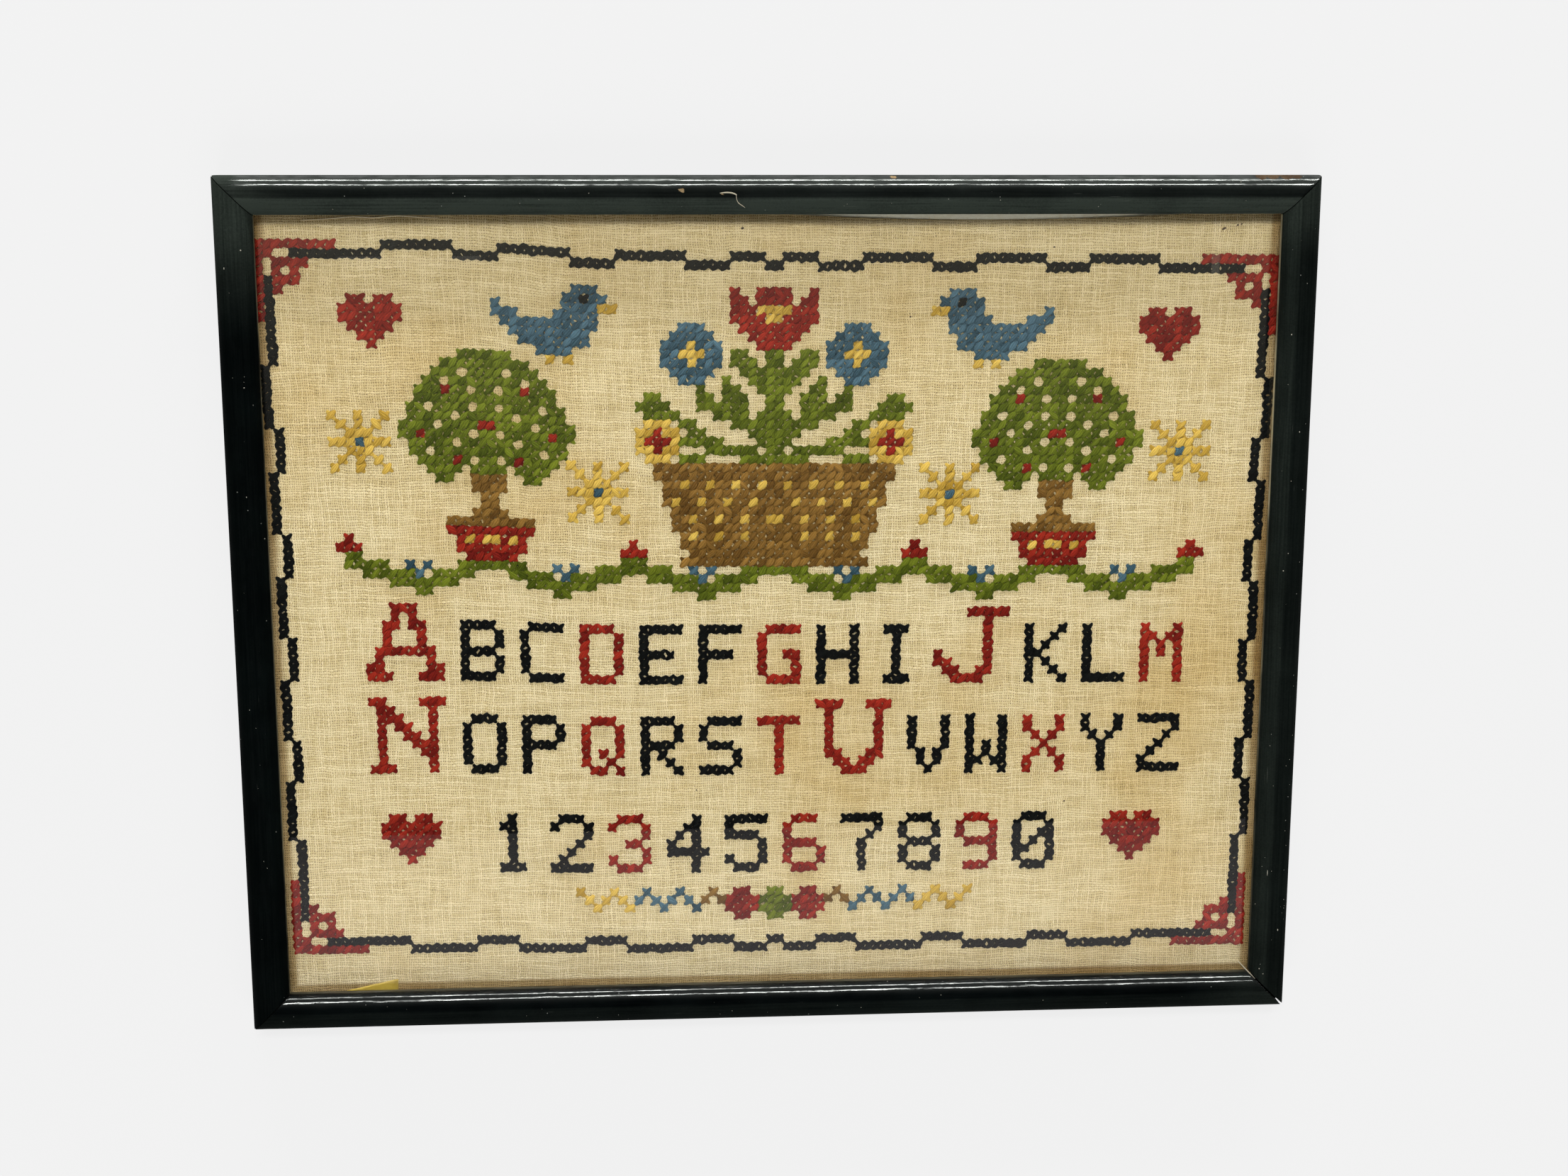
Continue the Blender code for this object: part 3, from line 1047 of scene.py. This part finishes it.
# Left halves of charts that mirror about the middle
BOUQUET = [
    "...........r..rr",
    "...........rr.rr",
    "...........rrryy",
    "...........rrrry",
    ".....bbb....rrrr",
    "....bbbbb....rrr",
    "...bbbybbb....rr",
    "...bbyyybb.gg..g",
    "...bbbybbb.ggg.g",
    "....bbbbb...gggg",
    ".....bbb..g..ggg",
    ".......g..gg..gg",
    ".gg....gg.ggg..g",
    "gggg...gggggg..g",
    ".gggg....gggg.gg",
    ".yyy.gg....ggggg",
    "yyryy.gg.....ggg",
    "yrrryggggg....gg",
    "yyryy...gggggg.g",
    ".yyy.ggg....gggg",
]
BASKET = [
    "nnnnnnnnnnnnnn",
    "nnnnnnnnnnnnnn",
    ".nnynnynnynnyn",
    ".nnnnnnnnnnnnn",
    ".nynnynnynnynn",
    "..nnnnnnnnnnnn",
    "..nnynnynnynny",
    "..nnnnnnnnnnnn",
    "...nynnynnynnn",
    "...nnnnnnnnnnn",
    "....nnnnnnnnnn",
    "...nnnnnnnnnnn",
]
DIVIDER = [
    "y...y...b...b...n..rr..g",
    ".y.y.y.b.b.b.b.n.nrrrrgg",
    "..y...y...b...b...rrrrgg",
    "...................rr..g",
]
TREE = [
    ".......ggg",
    ".....ggggg",
    "....ggg.gg",
    "...gg.gggg",
    "..gggrgg.g",
    "..gggggggg",
    ".gg.gggg.g",
    ".ggggg.ggg",
    "gggg.ggggr",
    "ggrggggg.g",
    ".ggggg.ggg",
    ".gg.gggggg",
    "..ggggrg.g",
    "...gggg.gg",
    "....gg..nn",
    "........nn",
    ".........n",
    ".........n",
    "........nn",
    ".....nnnnn",
    ".....rrrrr",
    "......ryry",
    "......rrrr",
    ".......rrr",
]

# Whole charts
BIRD = [
    ".........bbb..",
    "........bbkbb.",
    "b.......bbbbyy",
    "bbb....bbbbb..",
    ".bbbbbbbbbbb..",
    "..bbbbbbbbb...",
    "...bbbbbbbb...",
    ".....bbbb.....",
    "......y.y.....",
]
HEART = [
    ".rr.rr.",
    "rrrrrrr",
    "rrrrrrr",
    ".rrrrr.",
    "..rrr..",
    "...r...",
]
STAR = [
    "y..y..y",
    ".y.y.y.",
    "..yyy..",
    "yyybyyy",
    "..yyy..",
    ".y.y.y.",
    "y..y..y",
]
LETTERS = {
    "B": "####. #...# #...# ####. #...# #...# ####.",
    "C": ".#### #.... #.... #.... #.... #.... .####",
    "D": "####. #...# #...# #...# #...# #...# ####.",
    "E": "##### #.... #.... ####. #.... #.... #####",
    "F": "##### #.... #.... ####. #.... #.... #....",
    "G": ".#### #.... #.... #..## #...# #...# .####",
    "H": "#...# #...# #...# ##### #...# #...# #...#",
    "I": ".###. ..#.. ..#.. ..#.. ..#.. ..#.. .###.",
    "K": "#...# #..#. #.#.. ##... #.#.. #..#. #...#",
    "L": "#.... #.... #.... #.... #.... #.... #####",
    "M": "#...# ##.## #.#.# #.#.# #...# #...# #...#",
    "O": ".###. #...# #...# #...# #...# #...# .###.",
    "P": "####. #...# #...# ####. #.... #.... #....",
    "Q": ".###. #...# #...# #...# #.#.# #..#. .##.#",
    "R": "####. #...# #...# ####. #.#.. #..#. #...#",
    "S": ".#### #.... #.... .###. ....# ....# ####.",
    "T": "##### ..#.. ..#.. ..#.. ..#.. ..#.. ..#..",
    "V": "#...# #...# #...# #...# .#.#. .#.#. ..#..",
    "W": "#...# #...# #...# #.#.# #.#.# ##.## #...#",
    "X": "#...# #...# .#.#. ..#.. .#.#. #...# #...#",
    "Y": "#...# #...# .#.#. ..#.. ..#.. ..#.. ..#..",
    "Z": "##### ....# ...#. ..#.. .#... #.... #####",
    "0": ".###. #...# #..## #.#.# ##..# #...# .###.",
    "1": "..#.. .##.. ..#.. ..#.. ..#.. ..#.. .###.",
    "2": ".###. #...# ....# ...#. ..#.. .#... #####",
    "3": ".###. #...# ....# ..##. ....# #...# .###.",
    "4": "...#. ..##. .#.#. #..#. ##### ...#. ...#.",
    "5": "##### #.... ####. ....# ....# #...# .###.",
    "6": ".###. #.... #.... ####. #...# #...# .###.",
    "7": "##### ....# ...#. ..#.. ..#.. ..#.. ..#..",
    "8": ".###. #...# #...# .###. #...# #...# .###.",
    "9": ".###. #...# #...# .#### ....# ....# .###.",
}
LARGE_LETTERS = {
    "A": "...###... ...#.#... ..##.##.. ..#...#.. ..#...#.. .#######. .#.....#. ##.....## ###...###",
    "J": "....##### ......#.. ......#.. ......#.. ......#.. #.....#.. ##....#.. .##..##.. ..####...",
    "N": "##....### .##....#. .###...#. .#.##..#. .#..##.#. .#...###. .#....##. .#.....#. ###....#.",
    "U": "###...### .#.....#. .#.....#. .#.....#. .#.....#. .#.....#. .##...##. ..##.##.. ...###...",
}


def work_chart(cells, chart, column, row):
    """Works a chart into the cells, with its top left corner at that column and row."""
    for down, line in enumerate(chart):
        for across, letter in enumerate(line):
            if letter != ".":
                cells[column + across, row + down] = letter


def whole(half):
    """A chart from its left half."""
    return [line + line[::-1] for line in half]


def work_pair(cells, chart, column, row):
    """Works a chart and its mirror image on either side of the middle."""
    work_chart(cells, chart, column, row)
    flipped = [line[::-1] for line in chart]
    work_chart(cells, flipped, COLUMNS - column - len(chart[0]), row)


def work_border(cells):
    """The stepped black line, and a red bracket with a small fret in each corner."""
    work_pair(cells, CORNER, 0, 0)
    work_pair(cells, CORNER[::-1], 0, ROWS - len(CORNER))
    column = BORDER_START
    for number, length in enumerate(BORDER_ACROSS):
        inward = 1 if number % 2 == 0 else 0
        for _ in range(length):
            cells[column, inward] = "k"
            cells[column, ROWS - 1 - inward] = "k"
            column += 1
    row = BORDER_START
    for number, length in enumerate(BORDER_DOWN):
        inward = 1 if number % 2 == 0 else 0
        for _ in range(length):
            cells[inward, row] = "k"
            cells[COLUMNS - 1 - inward, row] = "k"
            row += 1


def work_motifs(cells):
    """A basket of flowers between two trees, with birds, hearts and stars above a vine."""
    centre = COLUMNS // 2
    top = 4
    for column in range(8, COLUMNS - 8):
        wave = math.cos(2 * math.pi * (column - centre + 0.5) / 16.5)
        row = round(36.4 - 1.2 * wave)
        cells[column, row] = "g"
        cells[column, row + 1] = "g"
        if wave > 0.985:
            work_chart(cells, [".r.", "rrr"], column - 1, row - 2)
        if wave < -0.985:
            work_chart(cells, ["b.b", ".b."], column - 1, row - 2)
    work_pair(cells, whole(TREE)[0:14], 15, top + 8)
    work_pair(cells, whole(TREE)[14:], 15, top + 22)
    work_chart(cells, whole(BOUQUET), centre - 16, top)
    work_chart(cells, whole(BASKET), centre - 14, top + 20)
    work_pair(cells, BIRD, 26, top)
    work_pair(cells, HEART, 9, top + 2)
    work_pair(cells, STAR, 7, top + 15)
    work_pair(cells, STAR, 34, top + 20)


def work_line(cells, text, colours, large, column, row):
    """A line of letters or numbers. The large ones stand two cells taller."""
    for letter, colour in zip(text, colours):
        charts, taller, step = (LARGE_LETTERS, 2, 11) if letter in large else (LETTERS, 0, 7)
        work_chart(cells, charts[letter].replace("#", colour).split(), column, row - taller)
        column += step


def work_letters(cells):
    """A plain alphabet and the numbers, with hearts, then a small divider."""
    work_line(cells, "ABCDEFGHIJKLM", "rkkrkkrkkrkkr", "AJ", 10, 43)
    work_line(cells, "NOPQRSTUVWXYZ", "rkkrkkrrkkrkk", "NU", 10, 54)
    work_line(cells, "1234567890", "kkrkkrkkrk", "", 24, 66)
    work_pair(cells, HEART, 11, 66)
    work_chart(cells, whole(DIVIDER), COLUMNS // 2 - len(DIVIDER[0]), 75)


def worked_cells():
    """Every cross of the sampler, as (column, row) to the letter of its colour."""
    cells = {}
    work_border(cells)
    work_motifs(cells)
    work_letters(cells)
    return cells


# The crosses

def leg_lines(starts, ends, rng):
    """The middle line of each leg, a little bowed, and the way across it."""
    starts = starts + rng.normal(0.0, 0.00011, starts.shape)
    ends = ends + rng.normal(0.0, 0.00011, ends.shape)
    reach = (ends - starts) * (LEG_OVERSHOOT / np.linalg.norm(ends - starts, axis=1))[:, None]
    starts, ends = starts - reach, ends + reach
    run = ends - starts
    along = run / np.linalg.norm(run, axis=1)[:, None]
    sideways = np.stack([-along[:, 1], along[:, 0]], axis=1)
    bow = rng.normal(0.0, 0.00010, len(starts))
    middle = starts[:, None, :] + run[:, None, :] * LEG_SHARES[None, :, None]
    middle = middle + sideways[:, None, :] * (bow[:, None] * LEG_ARCH[None, :])[:, :, None]
    return middle, sideways


def leg_faces(count):
    """The faces of that many legs, each with a cap at both ends."""
    number = np.arange(LEG_STATIONS * LEG_SIDES).reshape(LEG_STATIONS, LEG_SIDES)
    beside = np.roll(number, -1, axis=1)
    quads = np.stack([number[:-1], beside[:-1], beside[1:], number[1:]], axis=-1).reshape(-1, 4)
    base = (np.arange(count) * LEG_STATIONS * LEG_SIDES)[:, None, None]
    faces = (quads[None] + base).reshape(-1, 4)[:, ::-1].tolist()
    faces += (number[0][None] + base[:, 0]).tolist()
    faces += (number[-1][::-1][None] + base[:, 0]).tolist()
    return faces


def legs_mesh(name, starts, ends, widths, middle_heights, rng):
    """One joined mesh of many thread legs: arched, three-stranded, and pinched at both ends."""
    count = len(starts)
    middle, sideways = leg_lines(starts, ends, rng)
    ground = linen_height(middle[..., 0], middle[..., 1])
    lift = LEG_END_HEIGHT + (middle_heights[:, None] - LEG_END_HEIGHT) * LEG_ARCH[None, :]
    width = widths * rng.uniform(0.80, 1.18, count)
    fullness = (0.24 + 0.76 * np.sin(math.pi * LEG_SHARES) ** 0.9)[None, :, None]
    angle = 2 * math.pi * np.arange(LEG_SIDES) / LEG_SIDES - math.pi / 2
    twist = rng.uniform(0.2, 1.0, count)[:, None, None] * (LEG_SHARES[None, :, None] - 0.5) * 1.8
    phase = rng.uniform(0.0, 2 * math.pi, count)[:, None, None]
    lobe = 1.0 + 0.13 * np.cos(STRANDS * (angle[None, None, :] + twist) + phase)
    off = 0.5 * width[:, None, None] * fullness * lobe * np.cos(angle)
    rise = 0.5 * LEG_THICKNESS * fullness * lobe * np.sin(angle)
    points = np.empty((count, LEG_STATIONS, LEG_SIDES, 3))
    points[..., :2] = middle[:, :, None, :] + sideways[:, None, None, :] * off[..., None]
    points[..., 2] = (ground + lift)[:, :, None] + rise
    piece = mesh_object(name, points.reshape(-1, 3).tolist(), leg_faces(count))

    strand = np.empty((count, LEG_STATIONS, LEG_SIDES, 3))
    strand[..., 0] = LEG_SHARES[None, :, None] * 4.0
    strand[..., 1] = angle + twist
    strand[..., 2] = np.arange(count)[:, None, None] * 3.1
    add_place(piece, "strand_place", strand)
    add_number(piece, "shade", np.repeat(rng.uniform(0.0, 1.0, count), LEG_STATIONS * LEG_SIDES))
    return piece


# Each thread's name, its colour in the light and its darker colour between the strands, in painted shade
THREADS = {
    "k": ("black", srgb(15, 17, 16), srgb(2, 3, 3)),
    "r": ("red", srgb(158, 42, 26), srgb(88, 12, 8)),
    "b": ("blue", srgb(82, 112, 126), srgb(34, 58, 68)),
    "g": ("green", srgb(116, 126, 32), srgb(52, 62, 5)),
    "n": ("brown", srgb(148, 110, 50), srgb(82, 54, 17)),
    "y": ("yellow", srgb(224, 188, 90), srgb(158, 122, 36)),
}


def add_crosses_group(name, group, material, jitter, rng):
    """Two legs to each cross of a group of cells, joined. In a few crosses they lie the other way up."""
    column, row = group[:, 0], group[:, 1]
    holes = {}
    for right, down in ((0, 0), (1, 1), (0, 1), (1, 0)):
        x, y = on_cloth(column + right, row + down)
        shift = jitter[column + right + 1, row + down + 1]
        holes[right, down] = np.stack([x, y], axis=1) + shift
    falling = (holes[0, 0], holes[1, 1])
    rising = (holes[0, 1], holes[1, 0])
    swapped = rng.random(len(group)) < 0.06
    under = [np.where(swapped[:, None], b, a) for a, b in zip(falling, rising)]
    over = [np.where(swapped[:, None], a, b) for a, b in zip(falling, rising)]
    starts = np.concatenate([under[0], over[0]])
    ends = np.concatenate([under[1], over[1]])
    heights = np.repeat([LOWER_LEG_HEIGHT, UPPER_LEG_HEIGHT], len(group))
    heights = heights * rng.uniform(0.85, 1.1, len(heights))
    widths = np.repeat([LOWER_LEG_WIDTH, UPPER_LEG_WIDTH], len(group))
    dress(legs_mesh(name, starts, ends, widths, heights, rng), material)


def add_crosses():
    """One piece for each colour, or two for black: the border, and all within it."""
    rng = np.random.default_rng(SEED + 1)
    cells = worked_cells()
    jitter = rng.normal(0.0, 0.00015, (COLUMNS + 3, ROWS + 3, 2))
    last_cell = np.array([COLUMNS - 1, ROWS - 1])
    for letter, (colour, light, deep_and_shaded) in THREADS.items():
        worked = np.array(sorted(cell for cell, worked_in in cells.items() if worked_in == letter))
        material = thread_finish(f"{colour}_thread", light, deep_and_shaded)
        if letter == "k":
            inner = np.minimum(worked, last_cell - worked).min(axis=1) >= BORDER_START
            add_crosses_group("crosses_black_1", worked[~inner], material, jitter, rng)
            add_crosses_group("crosses_black_2", worked[inner], material, jitter, rng)
        else:
            add_crosses_group(f"crosses_{colour}", worked, material, jitter, rng)


# Small things

def add_tape():
    """A scrap of yellowed tape on the cloth near its lower left corner."""
    corners = [(-0.1668, -0.1480), (-0.1453, -0.1433), (-0.1455, -0.1483)]
    steps = 6
    points = []
    for layer in (0.00016, 0.00006):
        for i in range(steps + 1):
            for j in range(steps + 1 - i):
                a, b = i / steps, j / steps
                x = corners[0][0] * (1 - a - b) + corners[1][0] * a + corners[2][0] * b
                y = corners[0][1] * (1 - a - b) + corners[1][1] * a + corners[2][1] * b
                points.append((x, y, float(linen_height(x, y)) + layer + 0.00012 * math.sin(900 * x)))
    start = {}
    number = 0
    for i in range(steps + 1):
        for j in range(steps + 1 - i):
            start[i, j] = number
            number += 1
    faces = []
    for i in range(steps):
        for j in range(steps - i):
            faces.append((start[i, j], start[i, j + 1], start[i + 1, j]))
            if j < steps - i - 1:
                faces.append((start[i + 1, j], start[i, j + 1], start[i + 1, j + 1]))
    rim = [start[i, 0] for i in range(steps + 1)]
    rim += [start[steps - j, j] for j in range(1, steps + 1)]
    rim += [start[0, j] for j in range(steps - 1, 0, -1)]
    closed = list(faces)
    closed += [tuple(k + number for k in face[::-1]) for face in faces]
    for here, following in zip(rim, rim[1:] + rim[:1]):
        closed.append((here, following, following + number, here + number))
    tape = mesh_object("tape_scrap", points, closed)
    dress(tape, tape_finish())


# Small dark specks on the cloth, as (x, y, length, width, turn in degrees)
CLOTH_SPECKS = [
    (-0.0116, 0.1415, 0.0012, 0.0009, 20),
    (-0.0986, 0.0977, 0.0010, 0.0007, 60),
    (0.0501, 0.1093, 0.0008, 0.0007, 0),
    (0.1029, 0.1345, 0.0008, 0.0006, 0),
    (0.1658, 0.1411, 0.0018, 0.0009, 30),
    (0.1709, 0.1424, 0.0010, 0.0006, 50),
    (0.1723, 0.1427, 0.0009, 0.0005, 30),
    (0.1120, -0.0770, 0.0008, 0.0007, 10),
    (-0.0300, -0.0700, 0.0007, 0.0005, 80),
    (0.0120, -0.1190, 0.0007, 0.0006, 15),
]


def add_cloth_specks():
    places = []
    for x, y, length, width, turn in CLOTH_SPECKS:
        along = Vector((math.cos(math.radians(turn)), math.sin(math.radians(turn)), 0.0))
        middle = Vector((x, y, float(linen_height(x, y)) + 0.00004))
        places.append((middle, Vector((0, 0, 1)), along, length / 2, width / 2))
    finish = Finish("dark_speck", roughness=0.9)
    cloud = finish.noise(finish.object_place(), 1500.0, 2.0)
    finish.set("Base Color", finish.mix(cloud, srgb(40, 26, 12), srgb(78, 54, 26)))
    dress(speck_mesh("cloth_specks", places), finish.material)


def add_fibres():
    """Loose fibres along the cloth's top edge, and frayed ends where that edge shows."""
    rng = np.random.default_rng(SEED + 2)
    pale = fibre_finish("pale_fibre", srgb(226, 206, 160))
    route = [(-0.1700, 0.1446), (-0.1600, 0.1451), (-0.1520, 0.1458), (-0.1440, 0.1455)]
    route += [(-0.1357, 0.1461), (-0.1290, 0.1457), (-0.1206, 0.1453)]
    path = [(x, y, float(linen_height(x, y)) + 0.0003) for x, y in route]
    loose = tube("loose_fibre", smoothed(path, 6), 0.00016)
    dress(loose, pale)
    ends = []
    for number in range(FRAYED_ENDS):
        x = SAG_CENTRE + rng.uniform(-0.9, 0.9) * 0.062
        edge = float(cut_edge(x)[0])
        reach = rng.uniform(0.0004, 0.0014)
        lean = rng.normal(0.0, 0.0004)
        z = float(linen_height(x, edge)) - 0.0002
        middle = (x + lean * 0.4, edge + reach * 0.5, z + 0.0001)
        path = [(x, edge - 0.0004, z), middle, (x + lean, edge + reach, z - 0.0001)]
        ends.append(tube(f"frayed_end_{number}", path, 0.00010, 5))
    joined = join_meshes("frayed_ends", ends)
    dress(joined, pale)


def smoothed(path, steps):
    """More points along a path, on a smooth curve through its own."""
    path = [Vector(point) for point in path]
    result = []
    for i in range(len(path) - 1):
        before = path[max(i - 1, 0)]
        start, end = path[i], path[i + 1]
        after = path[min(i + 2, len(path) - 1)]
        for step in range(steps):
            t = step / steps
            result.append(
                0.5 * (2 * start + (end - before) * t
                       + (2 * before - 5 * start + 4 * end - after) * t ** 2
                       + (3 * start - before - 3 * end + after) * t ** 3)
            )
    result.append(path[-1])
    return result


def join_meshes(name, pieces):
    """One object from several, which are removed."""
    points = []
    faces = []
    for piece in pieces:
        base = len(points)
        points += [tuple(vertex.co) for vertex in piece.data.vertices]
        faces += [tuple(base + i for i in polygon.vertices) for polygon in piece.data.polygons]
        bpy.data.objects.remove(piece)
    return mesh_object(name, points, faces)


def add_splinter():
    """A pale splinter at the inner end of the open mitre, which runs out over the glass."""
    material = fibre_finish("pale_splinter", srgb(222, 212, 184))
    inner = [(0.1822, -0.1429, 0.0086), (0.1838, -0.1446, 0.0094), (0.1853, -0.1461, 0.0108),
             (0.1868, -0.1475, 0.0122), (0.1880, -0.1487, 0.0130)]
    dress(tube("mitre_splinter", smoothed(inner, 6), 0.00024), material)


def add_hair():
    """A flake of bare wood lifting from the top rail, with a pale hair caught in it."""
    flake = [(-0.0200, 0.1541), (-0.0184, 0.1543), (-0.0166, 0.1543), (-0.0148, 0.1539), (-0.0140, 0.1534)]
    hair = [(-0.0142, 0.1538), (-0.0141, 0.1522), (-0.0134, 0.1507), (-0.0120, 0.1497), (-0.0110, 0.1490)]
    material = fibre_finish("pale_hair", srgb(214, 204, 172))
    for name, route, radius in (("lifted_flake", flake, 0.00026), ("caught_hair", hair, 0.00013)):
        path = [(x, y, rail_surface(FRAME_HEIGHT / 2 - y)[0] + 0.0001) for x, y in route]
        dress(tube(name, smoothed(path, 6), radius), material)


def dress_carried_nodes():
    """The glass and the board keep their solids and get their materials."""
    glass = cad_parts["glass_pane"]
    glass.data.materials.clear()
    glass.data.materials.append(glass_finish())
    glass.visible_shadow = False
    add_reflected_cards(glass)
    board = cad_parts["backing_board"]
    board.data.materials.clear()
    board.data.materials.append(board_finish())


add_camera()
add_studio()
add_frame()
add_rail_highlights()
linen = add_linen()
add_crosses()
add_tape()
add_fibres()
add_mitre_fillings()
add_paint_specks()
add_cloth_specks()
add_splinter()
add_hair()
dress_carried_nodes()
